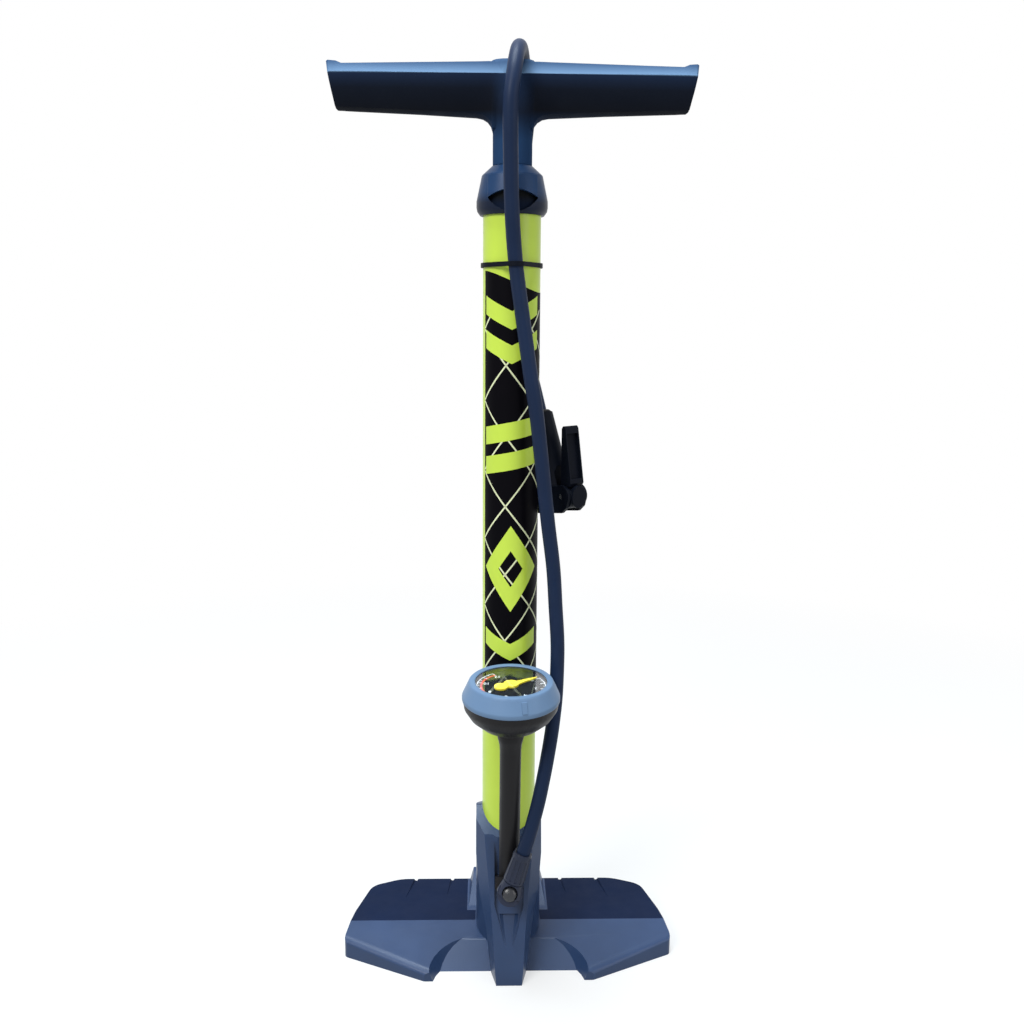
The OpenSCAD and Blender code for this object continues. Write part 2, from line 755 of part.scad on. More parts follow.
module rod_bumper() {
    color("#20211f") ring(rod_r + 5, rod_r + seat_gap, piston_top + 0.1, bumper_top, 48);
}

module piston() {
    color("#3a3f46")
    difference() {
        translate([0, 0, piston_z0]) cylinder(r = piston_r, h = piston_h);
        translate([0, 0, piston_z0 - 1]) cylinder(r = spigot_r + seat_gap, h = far, $fn = small);
        ring(far, bore_r - 4.05, piston_z0 + piston_h / 2 - 2, piston_z0 + piston_h / 2 + 2);
    }
}

module piston_seal() {
    color("#20211f")
    translate([0, 0, piston_z0 + piston_h / 2])
        rotate_extrude() translate([bore_r - run_gap - ring_r, 0]) circle(r = ring_r, $fn = 24);
}

module piston_washer() {
    color("#b9bdc2") ring(10, spigot_r + seat_gap, nut_z0 + nut_h, piston_z0, 48);
}

module piston_nut() {
    color("#b9bdc2")
    difference() {
        translate([0, 0, nut_z0]) cylinder(r = 7.5, h = nut_h, $fn = 6);
        translate([0, 0, nut_z0 - 1]) cylinder(r = spigot_r + seat_gap, h = 10, $fn = small);
    }
}

module gauge_stem() {
    color("#15181d")
    difference() {
        union() {
            intersection() {
                at_stem() rotate_extrude($fn = 48)
                    polygon([[0, 0], [stem_r, 0], [stem_r, stem_len - 14], [stem_r + 0.4, stem_len - 9],
                             [stem_r + 1.7, stem_len - 3], [stem_r + 1.7, stem_len + 8], [0, stem_len + 8]]);
                at_gauge() translate([-far, -far, cup_z0 - far]) cube([2 * far, 2 * far, far]);
            }
            at_groove() linear_extrude(manifold_t) {
                translate([0, boss_up]) circle(r = manifold_r, $fn = 48);
                translate([-groove_hw + 0.5, boss_up + 2]) square([2 * groove_hw - 1, 7.9]);
            }
            at_gauge() translate([0, 0, cup_z0 - 4]) cylinder(r = 5, h = 9.5, $fn = small);
        }
        at_stem() translate([0, 0, 6]) cylinder(r = 2, h = stem_len - 8, $fn = small);
        at_gauge() translate([0, 0, cup_z0 - 5]) cylinder(r = 2, h = 20, $fn = small);
        rod_between(groove_o + 39 * groove_up - 3 * groove_out,
            groove_o + 39 * groove_up + 9 * groove_out, 2);
        rod_between(groove_o + boss_up * groove_up + 8 * groove_out,
            groove_o + boss_up * groove_up + 30 * groove_out, 2.5 + seat_gap);
    }
}

module gauge_cup() {
    color("#15181d")
    at_gauge() translate([0, 0, gauge_z]) rotate_extrude()
        polygon([[5.05, -cup_h], [9.5, -cup_h], [10.5, 2 - cup_h], [19.8, 6.2 - cup_h],
                 [27.2, -11.6], [31, -5.4], [bezel_r - 0.5, 0], [inner_r + 0.1, 0], [inner_r - 0.05, 0.1],
                 [inner_r - 0.05, dial_z - gauge_z], [24.3, dial_z - gauge_z], [24.3, -5],
                 [22.6, -9.5], [16, -14.4],
                 [9, -16.2], [9, -9.5], [2, -9.5], [2, 6 - cup_h], [5.05, 6 - cup_h]]);
}

module gauge_bezel() {
    color("#7f9cc8")
    at_gauge() {
        translate([0, 0, gauge_z]) rotate_extrude($fn = 96)
            polygon([[inner_r + 0.1, 0], [bezel_r - 0.3, 0], [bezel_r, 0.5], [bezel_r, 2.4],
                     [bezel_r - 0.4, 3.4], [28.5, bezel_h - 1.9], [28, bezel_h - 0.8], [27.2, bezel_h - 0.1],
                     [26.4, bezel_h], [24.2, bezel_h], [window_r, bezel_h - 0.35],
                     [window_r, bezel_h - lens_lip], [inner_r + 0.1, bezel_h - lens_lip]]);
        rotate([0, 0, -75])
            translate([28.5 + 0.1, -1.7, gauge_z + bezel_h - 2.6])
                rotate([0, -22, 0]) translate([-2, 0, -7.5]) cube([3, 3.4, 7.5]);
    }
}

module gauge_lens() {
    color("#dfe8ee") at_gauge() translate([0, 0, lens_top - lens_t]) cylinder(r = inner_r, h = lens_t);
}

module lens_gasket() {
    color("#20211f")
    at_gauge() ring(inner_r, seat_in - 0.3, lens_top - lens_t - lens_seal, lens_top - lens_t);
}

module dial_spacer() {
    color("#15181d") at_gauge() ring(inner_r, seat_in, dial_z + dial_t, lens_top - lens_t - lens_seal);
}

module gauge_dial() {
    color("#111419")
    at_gauge() translate([0, 0, dial_z])
        difference() {
            cylinder(r = inner_r, h = dial_t);
            translate([0, 0, -1]) cylinder(r = 1.4, h = 5, $fn = small);
        }
}

// Outline of one tooth about angle a on a wheel of pitch radius r with n teeth
function tooth(r, n, a) =
    let (half = 0.18 * 360 / n, up = 0.75 * tooth_m, down = 1.1 * tooth_m, k = tan(20) * 180 / PI)
    [for (q = [[r - down, -half - k * down / r], [r + up, -half + k * up / r],
               [r + up, half - k * up / r], [r - down, half + k * down / r]])
        q[0] * [cos(a + q[1]), sin(a + q[1])]];

module gauge_needle() {
    color("#e8d63c")
    at_gauge() {
        translate([0, 0, plate_z + 0.4])
            cylinder(r = arbor_r, h = needle_z + needle_t - plate_z - 0.2, $fn = small);
        translate([0, 0, gauge_z - 5.6])
            linear_extrude(2.8)
                polygon([for (i = [0:9]) each tooth(pinion_r, 10, 36 * i)]);
        translate([0, 0, needle_z]) rotate(needle_rest) {
            cylinder(r = 5, h = needle_t, $fn = small);
            translate([-8, 0, 0]) cylinder(r = 4.4, h = needle_t, $fn = small);
            linear_extrude(needle_t - 0.5)
                polygon([[-8, -2.8], [3, -2.4], [20.7, -0.35], [20.7, 0.35], [3, 2.4], [-8, 2.8]]);
        }
    }
}

module movement_frame() {
    color("#b79a55")
    at_gauge()
    difference() {
        union() {
            translate([0, 0, plate_z]) cylinder(r = frame_r, h = plate_t);
            translate([0, 0, bridge_z]) cylinder(r = bridge_r, h = plate_t);
            for (a = [0, 75, 285]) rotate(a) translate([pillar_ring, 0, plate_z + plate_t / 3])
                cylinder(r = pillar_r, h = bridge_z - plate_z, $fn = 24);
        }
        for (x = [0, arbor_x]) translate([x, 0, plate_z - plate_t])
            cylinder(r = arbor_r + run_gap, h = far, $fn = small);
        for (a = [60, 180, 240]) rotate(a) translate([window_cut_ring, 0, bridge_z - plate_t])
            cylinder(r = window_cut_r, h = 4 * plate_t, $fn = 24);
    }
}

module gear_sector() {
    color("#b79a55")
    at_gauge() translate([arbor_x, 0, 0]) {
        translate([0, 0, plate_z + 0.4]) cylinder(r = arbor_r, h = bridge_z + 0.8 - plate_z, $fn = small);
        translate([0, 0, gauge_z - 5]) {
            cylinder(r = 2.6, h = 1.6, $fn = small);
            linear_extrude(1.6)
                polygon(concat([[0, 0]], [for (i = [-9:0]) each tooth(sector_r, 50, 3.6 + 7.2 * i)]));
        }
    }
}

module bourdon_tube() {
    color("#c79b4a")
    at_gauge() {
        translate([0, 0, gauge_z - tube_drop]) rotate(210)
            rotate_extrude(angle = 250) translate([tube_in, 0]) square([tube_t, tube_h]);
        rotate(210) translate([tube_in + tube_t - tube_block.x - 0.1, -tube_block.y / 2, plate_z + plate_t])
            cube(tube_block);
    }
}

module hose_elbow() {
    color("#1d212a")
    difference() {
        union() {
            at_boss() translate([0, 0, -boss_t / 2]) cylinder(r = boss_r, h = boss_t, $fn = 48);
            intersection() {
                at_stub() {
                    cylinder(r = 5.4, h = stub_len, $fn = small);
                    cylinder(r1 = 9.2, r2 = 7, h = nut_from - 0.1, $fn = 48);
                }
                at_boss() translate([-boss_r * 2, -boss_r * 2, 0.3 - boss_t / 2]) cube(boss_r * 4);
            }
        }
        at_boss() cylinder(r = 2.5 + seat_gap, h = 40, center = true, $fn = small);
        at_boss() translate([0, 0, boss_t / 2]) cylinder(r = 5.5, h = 20, $fn = small);
        at_stub() translate([0, 0, 4]) cylinder(r = 1.9, h = 30, $fn = small);
    }
}

module elbow_screw() {
    color("#1a1d24")
    at_boss() rotate_extrude($fn = small)
        polygon(concat(
            [[0, -boss_t / 2 - 7], [2.5, -boss_t / 2 - 7], [2.5, boss_t / 2], [5.2, boss_t / 2],
             [5.2, boss_t / 2 + 1]],
            [for (a = [15:15:90]) [5.2 * cos(a), boss_t / 2 + 1 + 2.6 * sin(a)]]));
}

module hose_nut() {
    color("#20252f")
    at_stub()
    difference() {
        translate([0, 0, nut_from]) rotate_extrude($fn = 48)
            polygon([[5.4 + seat_gap, 0], [6.7, 0], [7.4, 0.9], [7.4, 1.8], [6.4, 18.2], [6.6, 19],
                     [6.6, 20.6], [6.1, nut_to - nut_from], [hose_r + 0.1, nut_to - nut_from],
                     [hose_r + 0.1, stub_len - nut_from], [5.4 + seat_gap, stub_len - nut_from]]);
        for (a = [0:30:330])
            rotate(a) translate([7.8, 0, nut_from + rib_from]) rotate([0, -nut_taper, 0])
                cylinder(r = 0.9, h = rib_to - rib_from, $fn = 16);
    }
}

module hose() {
    color("#1b1f27") tube_sweep(hose_route, hose_r, hose_bore / 2, 10, [1, 0, 0]);
}

module tie_outline(t) {
    hull() {
        circle(r = barrel_r + t);
        translate(tie_front) circle(r = hose_r + t, $fn = small);
        translate(tie_back) circle(r = hose_r + t, $fn = small);
    }
}

module hose_tie() {
    color("#17191e")
    translate([0, 0, tie_z]) {
        linear_extrude(tie_h)
            difference() {
                tie_outline(1.5);
                tie_outline(0.15);
            }
        rotate(128) translate([barrel_r + 1, -3, -0.9]) cube([5, 6, tie_h + 1.8]);
    }
}

module chuck_body() {
    color("#26324a")
    at_chuck()
    difference() {
        union() {
            translate([-31, 0, 0]) rotate([0, 90, 0]) cylinder(r = head_r, h = 22);
            rotate([90, 0, 0]) linear_extrude(2 * (ear_in + ear_t), center = true) {
                circle(r = ear_r, $fn = 48);
                polygon([[-30.5, -15.8], [1.5, -11.2], [6, -7], [ear_r - 0.6, -2], [0, ear_r - 0.4],
                         [-30.5, 4]]);
            }
            translate(shank_foot) rotate([0, -shank_lean, 0])
                cylinder(r1 = shank_r[0], r2 = shank_r[1], h = norm(shank_top - shank_foot), $fn = 48);
        }
        translate([chamber_x0, 0, 0]) rotate([0, 90, 0]) cylinder(r = guide_r, h = 20, $fn = 48);
        translate([chamber_x0, 0, 0]) rotate([0, 90, 0]) cylinder(r = 3 + run_gap, h = 40, $fn = small);
        translate(shank_foot) rotate([0, -shank_lean, 0]) cylinder(r = 1.8, h = 80, $fn = small);
        rotate([90, 0, 0]) cylinder(r = pin_r + seat_gap, h = 4 * ear_in, center = true, $fn = small);
        translate([-9, -ear_in, -20]) cube([40, 2 * ear_in, 40]);
    }
}

module chuck_ferrule() {
    color("#15181d")
    at_shank() translate([0, 0, norm(shank_top - shank_foot)])
        rotate_extrude($fn = 48)
            polygon([[hose_r + 0.1, 0], [7.6, 0], [7.6, 0.8], [6.6, 2], [hose_r + 0.1, 2]]);
}

module chuck_collar() {
    color("#15181d")
    at_chuck() translate([mouth_x, 0, 0]) rotate([0, 90, 0])
        rotate_extrude($fn = 48)
            polygon([[valve_bore / 2 + 0.6, 0], [9.4, 0], [10.2, 0.8], [10.2, 4.5], [guide_r - seat_gap, 4.5],
                     [guide_r - seat_gap, 8.5], [valve_bore / 2 + 0.6, 8.5]]);
}

module chuck_grommet() {
    color("#2b2b2b")
    at_chuck() translate([mouth_x + 8.6, 0, 0]) rotate([0, 90, 0])
        difference() {
            cylinder(r = guide_r - 0.1, h = 7.4, $fn = 48);
            translate([0, 0, -1]) cylinder(r = valve_bore / 2, h = 10, $fn = 48);
        }
}

module chuck_plunger() {
    color("#d9dbd6")
    at_chuck() rotate([0, 90, 0]) {
        translate([0, 0, -17.2]) cylinder(r = guide_r - run_gap, h = 4.2, $fn = 48);
        translate([0, 0, -14]) cylinder(r = 3, h = 14 - (cam_r - cam_off) - 0.3, $fn = small);
        translate([0, 0, -19.2]) cylinder(r = 1.2, h = 3, $fn = 24);
    }
}

// Side view of the lever's blade, from its root to its tip
blade = [[-2.6, 7], [5.6, 7], [7, 9.5], [1, lever_len - 1.6], [-0.2, lever_len], [-1.4, lever_len],
         [-2.6, lever_len - 1.8]];
blade_hw = ear_in - 0.3;
blade_slope = atan2(blade[2].x - blade[3].x, blade[3].y - blade[2].y);
disc_x = 9;
pocket_t = 3;
pocket_rim = 1.1;

module chuck_lever() {
    color("#2b3852")
    at_chuck()
    difference() {
        union() {
            translate([cam_off, 0, -cam_off]) rotate([90, 0, 0])
                cylinder(r = cam_r, h = 2 * ear_in - 0.4, center = true, $fn = 48);
            rotate([90, 0, 0]) linear_extrude(2 * blade_hw, center = true) polygon(blade);
            translate([disc_x - 4, 0, 0]) rotate([0, 90, 0]) linear_extrude(4)
                polygon([for (a = [0:10:350]) [ear_r * cos(a), (blade_hw - 0.1) * sin(a)]]);
        }
        rotate([90, 0, 0]) cylinder(r = pin_r + run_gap, h = 4 * ear_in, center = true, $fn = small);
        translate([blade[2].x - pocket_t, -blade_hw + pocket_rim, blade[2].y + 2.5])
            rotate([0, -blade_slope, 0])
                cube([lever_len, 2 * (blade_hw - pocket_rim), lever_len - 17]);
    }
}

module lever_pin() {
    color("#b9bdc2")
    at_chuck() rotate([90, 0, 0])
        cylinder(r = pin_r, h = 2 * (ear_in + ear_t) - 0.4, center = true, $fn = small);
}

base_foot();
left_tread();
right_tread();
barrel();
barrel_gasket();
foot_plug();
plug_seal();
plug_screws();
valve_poppet();
valve_spring();
barrel_cap();
rod_bush();
rod_wiper();
handle();
handle_pin();
rod();
rod_bumper();
piston();
piston_seal();
piston_washer();
piston_nut();
gauge_stem();
gauge_cup();
gauge_bezel();
gauge_lens();
lens_gasket();
dial_spacer();
gauge_dial();
gauge_needle();
movement_frame();
gear_sector();
bourdon_tube();
hose_elbow();
elbow_screw();
hose_nut();
hose();
hose_tie();
chuck_body();
chuck_ferrule();
chuck_collar();
chuck_grommet();
chuck_plunger();
chuck_lever();
lever_pin();
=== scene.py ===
import json
import math

import bmesh
import bpy
from mathutils import Matrix, Vector


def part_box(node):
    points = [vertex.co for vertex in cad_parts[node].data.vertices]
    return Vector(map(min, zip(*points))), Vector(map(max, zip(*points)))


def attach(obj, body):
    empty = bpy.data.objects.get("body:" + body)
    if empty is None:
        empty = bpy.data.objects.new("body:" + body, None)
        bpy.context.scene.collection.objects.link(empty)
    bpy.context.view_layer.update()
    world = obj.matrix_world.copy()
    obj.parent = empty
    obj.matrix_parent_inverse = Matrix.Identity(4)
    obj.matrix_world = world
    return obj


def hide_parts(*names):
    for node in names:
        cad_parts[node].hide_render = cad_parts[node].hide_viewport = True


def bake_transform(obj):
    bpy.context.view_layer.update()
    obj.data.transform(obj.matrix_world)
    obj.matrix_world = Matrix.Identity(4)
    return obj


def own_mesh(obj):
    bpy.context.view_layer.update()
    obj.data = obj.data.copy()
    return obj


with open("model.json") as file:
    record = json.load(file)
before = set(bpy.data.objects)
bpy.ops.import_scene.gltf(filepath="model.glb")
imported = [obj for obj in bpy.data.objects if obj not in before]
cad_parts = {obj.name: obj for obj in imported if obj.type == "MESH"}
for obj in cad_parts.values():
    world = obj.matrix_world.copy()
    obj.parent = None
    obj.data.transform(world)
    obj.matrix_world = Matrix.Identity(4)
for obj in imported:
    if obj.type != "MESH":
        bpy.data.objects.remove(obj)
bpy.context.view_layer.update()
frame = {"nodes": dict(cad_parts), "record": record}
nodes = frame["nodes"]

MM = 0.001
FRAME_PX = 1024


def mm(*numbers):
    """A point given in millimetres, in metres."""
    return Vector(numbers) * MM


def srgb(red, green, blue):
    """A colour given as 0 to 255 screen values, as linear RGBA."""
    def linear(value):
        value /= 255
        return value / 12.92 if value <= 0.04045 else ((value + 0.055) / 1.055) ** 2.4
    return (linear(red), linear(green), linear(blue), 1.0)


# Camera

def make_camera():
    """The photograph's camera: a little above the middle of the pump, looking slightly down."""
    place = mm(-16.7, -687.2, 459.7)
    yaw, pitch, roll = (math.radians(a) for a in (-1.392, 10.767, 0.36))
    focal_px = 1012.6
    shift_px = 1.77
    ahead = Vector((-math.sin(yaw) * math.cos(pitch), math.cos(yaw) * math.cos(pitch), -math.sin(pitch)))
    right = Vector((math.cos(yaw), math.sin(yaw), 0))
    up = right.cross(ahead)
    side = right * math.cos(roll) + up * math.sin(roll)
    top = up * math.cos(roll) - right * math.sin(roll)
    data = bpy.data.cameras.new("photo_camera")
    data.sensor_width = 36
    data.lens = data.sensor_width * focal_px / FRAME_PX
    data.shift_x = shift_px / FRAME_PX
    camera = bpy.data.objects.new("photo_camera", data)
    bpy.context.scene.collection.objects.link(camera)
    camera.matrix_world = Matrix.Translation(place) @ Matrix((side, top, -ahead)).transposed().to_4x4()
    bpy.context.scene.camera = camera


make_camera()


# Meshes

def add_object(name, mesh, body=None):
    obj = bpy.data.objects.new(name, mesh)
    bpy.context.scene.collection.objects.link(obj)
    if body:
        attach(obj, body)
    return obj


def mesh_of(name, bm):
    mesh = bpy.data.meshes.new(name)
    bm.to_mesh(mesh)
    bm.free()
    return mesh


def closed_mesh(name, bm, smooth=True):
    """A mesh whose faces look outwards, shaded smooth or flat."""
    bmesh.ops.recalc_face_normals(bm, faces=bm.faces)
    for face in bm.faces:
        face.smooth = smooth
    return mesh_of(name, bm)


def smooth_line(points, step):
    """Points at about that spacing on a smooth curve through the given ones."""
    line = []
    last = len(points) - 1
    for i in range(last):
        a, b = points[max(i - 1, 0)], points[i]
        c, d = points[i + 1], points[min(i + 2, last)]
        pieces = max(2, round((c - b).length / step))
        for k in range(pieces):
            t = k / pieces
            line.append(0.5 * (2 * b + (c - a) * t + (2 * a - 5 * b + 4 * c - d) * t * t
                               + (3 * b - a - 3 * c + d) * t ** 3))
    line.append(points[last])
    return line


def tube_mesh(name, line, radius, sides):
    """A closed round tube along a line, without twist."""
    bm = bmesh.new()
    rings = []
    across = Vector((1, 0, 0))
    for i, point in enumerate(line):
        ahead = (line[min(i + 1, len(line) - 1)] - line[max(i - 1, 0)]).normalized()
        across = (across - across.dot(ahead) * ahead).normalized()
        other = ahead.cross(across)
        turns = [2 * math.pi * k / sides for k in range(sides)]
        offsets = [across * math.cos(t) + other * math.sin(t) for t in turns]
        rings.append([bm.verts.new(point + radius * offset) for offset in offsets])
    for low, high in zip(rings, rings[1:]):
        for k in range(sides):
            bm.faces.new((low[k], low[k - 1], high[k - 1], high[k]))
    bm.faces.new(rings[0])
    bm.faces.new(rings[-1])
    return closed_mesh(name, bm)


def thicken(obj, thickness):
    """Gives a thin film its thickness, outwards, with a crisp rim."""
    faces_at = [0] * len(obj.data.edges)
    for loop in obj.data.loops:
        faces_at[loop.edge_index] += 1
    for edge, faces in zip(obj.data.edges, faces_at):
        edge.use_edge_sharp = faces == 1
    film = obj.modifiers.new("film", "SOLIDIFY")
    film.thickness = thickness * MM
    film.offset = 1
    return obj


# Hose

HOSE_DIAMETER = 9.6 * MM
HOSE_STEP = 3 * MM
HOSE_SIDES = 28
ELBOW = mm(0, -48.08, 69.6)
ELBOW_LEAN = math.radians(17)
ELBOW_DIRECTION = Vector((math.sin(ELBOW_LEAN), 0, math.cos(ELBOW_LEAN)))
CHUCK_PIVOT = mm(41, 0, 340.7)
CHUCK_TURN = Matrix.Rotation(math.radians(-50), 3, "Z")
SHANK_FOOT = mm(-12, 0, 4)
SHANK_TOP = mm(-30.4, 0, 53.6)
SHANK_DIRECTION = (SHANK_TOP - SHANK_FOOT).normalized()
LOOP_RADIUS = 37
LOOP_X = (-2, 11.6)
LOOP_Z = 592


def hose_route():
    """The hose's way: elbow, past the gauge, over the handle, down behind the barrel to the chuck."""
    start = [ELBOW + ELBOW_DIRECTION * d * MM for d in (18.1, 32, 44)]
    front = [
        (16, -47.5, 123), (19.5, -46, 137), (22.5, -44, 151.5), (25.5, -41, 167), (28.5, -37, 184.5),
        (31, -32.5, 205), (32, -29, 225), (32, -28, 245), (30.5, -27, 268), (28.5, -27, 296),
        (24.5, -27, 327), (20.5, -27, 362), (16, -26.5, 400), (12, -26, 424), (8.2, -25.5, 450),
        (5, -24.8, 472), (3, -24.3, 486), (1.8, -24.2, 496), (0.6, -25.6, 508), (-0.4, -28.4, 521),
        (-1.2, -30, 536), (-1.8, -33, 556), (-2.2, -36, 578), (-2, -37, 592)]
    loop = []
    for degrees in range(15, 180, 15):
        turn = math.radians(degrees)
        x = LOOP_X[0] + (LOOP_X[1] - LOOP_X[0]) * degrees / 180
        loop.append((x, -LOOP_RADIUS * math.cos(turn), LOOP_Z + LOOP_RADIUS * math.sin(turn)))
    back = [
        (11, 37, 592), (9.2, 35.5, 572), (9.2, 32, 552), (9.8, 28, 534), (10.6, 24, 514),
        (11, 21.7, 500), (11, 21.7, 490), (11.2, 23.4, 474), (11.6, 26.4, 454), (12.6, 29.2, 438),
        (14.6, 29.8, 423)]
    end = [CHUCK_PIVOT + CHUCK_TURN @ (SHANK_TOP + SHANK_DIRECTION * d * MM) for d in (16, 6, 0.1)]
    return start + [mm(*p) for p in front + loop + back] + end


def make_hose():
    line = smooth_line(hose_route(), HOSE_STEP)
    hose = add_object("hose_tube", tube_mesh("hose_tube", line, HOSE_DIAMETER / 2, HOSE_SIDES))
    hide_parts("hose")
    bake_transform(hose)
    return hose


# Check valve spring

SPRING_RADIUS = 3.2 * MM
SPRING_WIRE = 0.5 * MM
SPRING_TURNS = 3.5
SPRING_SIDES = 10


def make_spring():
    """The check valve's spring as a coil over its CAD node's height; the real spring shortens as the valve
    opens.
    """
    low, high = (corner.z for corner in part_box("valve_spring"))
    steps = 84
    line = []
    for k in range(steps + 1):
        turn = 2 * math.pi * SPRING_TURNS * k / steps
        rise = low + SPRING_WIRE + (high - low - 2 * SPRING_WIRE) * k / steps
        line.append(Vector((SPRING_RADIUS * math.cos(turn), SPRING_RADIUS * math.sin(turn), rise)))
    spring = add_object("valve_coil", tube_mesh("valve_coil", line, SPRING_WIRE, SPRING_SIDES), "base")
    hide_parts("valve_spring")
    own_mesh(spring)
    return spring


# Barrel and its print

BARREL_RADIUS = 19
BARREL_WALL = 1.5
BARREL_Z = (14, 548)
BARREL_SIDES = 160
BARREL_RIM_ANGLE = 40
FILM = 0.05
FILM_STEP = 0.9
WRAP_LIFT = 0.04
WRAP_TURN = (-66, 152)
WRAP_Z = (214, 484)
WRAP_WAVE = 7
LINE_LIFT = 0.1
LINE_TURN = (-65, 151)
LINE_Z = (218, 466)
LINE_SLOPE = 1.3
LINE_STEP = 47
LINE_WIDTH = 1.1
BLOCK_LIFT = 0.16
BLOCK_HALF = 20
BLOCK_HEIGHT = 12
CHEVRON_DIP = 10
BAR_RISE = 8
LOZENGE_HALF = 30
LOZENGE_HOLE = 0.42


def make_barrel():
    """The barrel tube, rounder than its CAD mesh."""
    inner = BARREL_RADIUS - BARREL_WALL
    bottom, top = BARREL_Z
    profile = [(inner, bottom), (BARREL_RADIUS, bottom), (BARREL_RADIUS, top), (inner, top)]
    bm = bmesh.new()
    turns = [2 * math.pi * k / BARREL_SIDES for k in range(BARREL_SIDES)]
    rings = [[bm.verts.new(mm(r * math.cos(t), r * math.sin(t), z)) for t in turns] for r, z in profile]
    for low, high in zip(rings, rings[1:] + rings[:1]):
        for k in range(BARREL_SIDES):
            bm.faces.new((low[k - 1], low[k], high[k], high[k - 1]))
    mesh = closed_mesh("barrel_tube", bm)
    mesh.set_sharp_from_angle(angle=math.radians(BARREL_RIM_ANGLE))
    barrel = add_object("barrel_tube", mesh, "base")
    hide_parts("barrel")
    return barrel


def film_on_barrel(name, outline, lift):
    """A flat outline, in millimetres along and up the barrel's surface, rolled on as a thin film."""
    bm = bmesh.new()
    bm.faces.new([bm.verts.new((p[0], p[1], 0)) for p in outline])
    bmesh.ops.triangulate(bm, faces=bm.faces)
    low = min(v.co.x for v in bm.verts)
    high = max(v.co.x for v in bm.verts)
    for k in range(1, int((high - low) / FILM_STEP) + 1):
        geometry = bm.verts[:] + bm.edges[:] + bm.faces[:]
        cut = (low + k * FILM_STEP, 0, 0)
        bmesh.ops.bisect_plane(bm, geom=geometry, plane_co=cut, plane_no=(1, 0, 0), dist=1e-5)
    radius = BARREL_RADIUS + lift
    for face in bm.faces:
        face.smooth = True
        if face.normal.z < 0:
            face.normal_flip()
    for vertex in bm.verts:
        turn = vertex.co.x / BARREL_RADIUS
        vertex.co = mm(radius * math.sin(turn), -radius * math.cos(turn), vertex.co.y)
    return thicken(add_object(name, mesh_of(name, bm), "base"), FILM)


def along(degrees):
    """Distance along the barrel's surface, from its front, of a turn in degrees."""
    return math.radians(degrees) * BARREL_RADIUS


def wrap_outline():
    """The dark panel: a straight foot behind the gauge and a slanting, softly waved top."""
    left, right = (along(turn) for turn in WRAP_TURN)
    foot, head = WRAP_Z
    waves = 1.2
    steps = 60
    spots = [left + (right - left) * k / steps for k in range(steps + 1)]
    top = [(u, head - WRAP_WAVE * math.sin(u / BARREL_RADIUS * waves)) for u in reversed(spots)]
    return [(left, foot), (right, foot)] + top


def chevron(z):
    """A band that dips to a point at the barrel's front."""
    lower = [(-BLOCK_HALF, z), (0, z - CHEVRON_DIP), (BLOCK_HALF, z)]
    return lower + [(u, level + BLOCK_HEIGHT) for u, level in reversed(lower)]


def slanted_bar(z):
    lower = [(-BLOCK_HALF, z), (BLOCK_HALF, z + BAR_RISE)]
    return lower + [(u, level + BLOCK_HEIGHT) for u, level in reversed(lower)]


def lozenge(z):
    """A diamond frame, as an upper and a lower half."""
    outer = [(-BLOCK_HALF, z), (0, z + LOZENGE_HALF), (BLOCK_HALF, z)]
    inner = [(LOZENGE_HOLE * u, z + LOZENGE_HOLE * (level - z)) for u, level in reversed(outer)]
    upper = outer + inner
    return [upper, [(u, 2 * z - level) for u, level in upper]]


def stripe(start, end):
    """A straight line of even width between two points."""
    a, b = Vector(start), Vector(end)
    across = Vector((a.y - b.y, b.x - a.x)).normalized() * LINE_WIDTH / 2
    return [a + across, a - across, b - across, b + across]


def lattice():
    """Thin lines that climb round the wrap both ways, cut off at their foot and head."""
    left, right = (along(turn) for turn in LINE_TURN)
    foot, head = LINE_Z
    rise = LINE_SLOPE * (right - left)
    lines = []
    for z in range(round(foot - rise), head, LINE_STEP):
        ends = [(left + (level - z) / LINE_SLOPE, level) for level in (max(z, foot), min(z + rise, head))]
        mirrored = [(left + right - u, level) for u, level in ends]
        lines.append(stripe(*ends))
        lines.append(stripe(*mirrored))
    return lines


def make_print():
    """A dark wrap with a generic pattern of chevrons, bars and a lozenge over crossing lines."""
    blocks = [chevron(463), chevron(441), slanted_bar(377), slanted_bar(357), *lozenge(293), chevron(238)]
    wrap = film_on_barrel("barrel_wrap", wrap_outline(), WRAP_LIFT)
    yellow = [film_on_barrel("barrel_block_%d" % k, block, BLOCK_LIFT) for k, block in enumerate(blocks)]
    cream = [film_on_barrel("barrel_line_%d" % k, line, LINE_LIFT) for k, line in enumerate(lattice())]
    return {"wrap_black": [wrap], "print_yellow": yellow, "print_cream": cream}


# Cap pocket: a dark film as painted shade

POCKET_RADIUS = 20.4
POCKET_Z = 535.9
POCKET_HALF = 15.8
POCKET_UP = 4.8
POCKET_DOWN = 8.7
POCKET_LIFT = 0.02


def pocket_arc(rise):
    """Points of an arc over the pocket's chord, from its right end to its left end, seen from the front."""
    radius = (POCKET_HALF ** 2 + rise ** 2) / (2 * rise)
    half = math.asin(POCKET_HALF / radius)
    steps = 24
    turns = [half * (1 - 2 * k / steps) for k in range(steps + 1)]
    return [(radius * math.sin(t), radius * math.cos(t) - radius + rise) for t in turns]


def make_pocket():
    """A dark film in the pocket under the cap's brow: painted shade, darkest under the brow."""
    lower = [(x, -z) for x, z in pocket_arc(POCKET_DOWN)]
    outline = pocket_arc(POCKET_UP) + lower[::-1][1:-1]
    rolled = [(BARREL_RADIUS * math.asin(x / POCKET_RADIUS), POCKET_Z + z) for x, z in outline]
    return film_on_barrel("cap_pocket_shade_film", rolled, POCKET_RADIUS - BARREL_RADIUS + POCKET_LIFT)


# Gauge dial

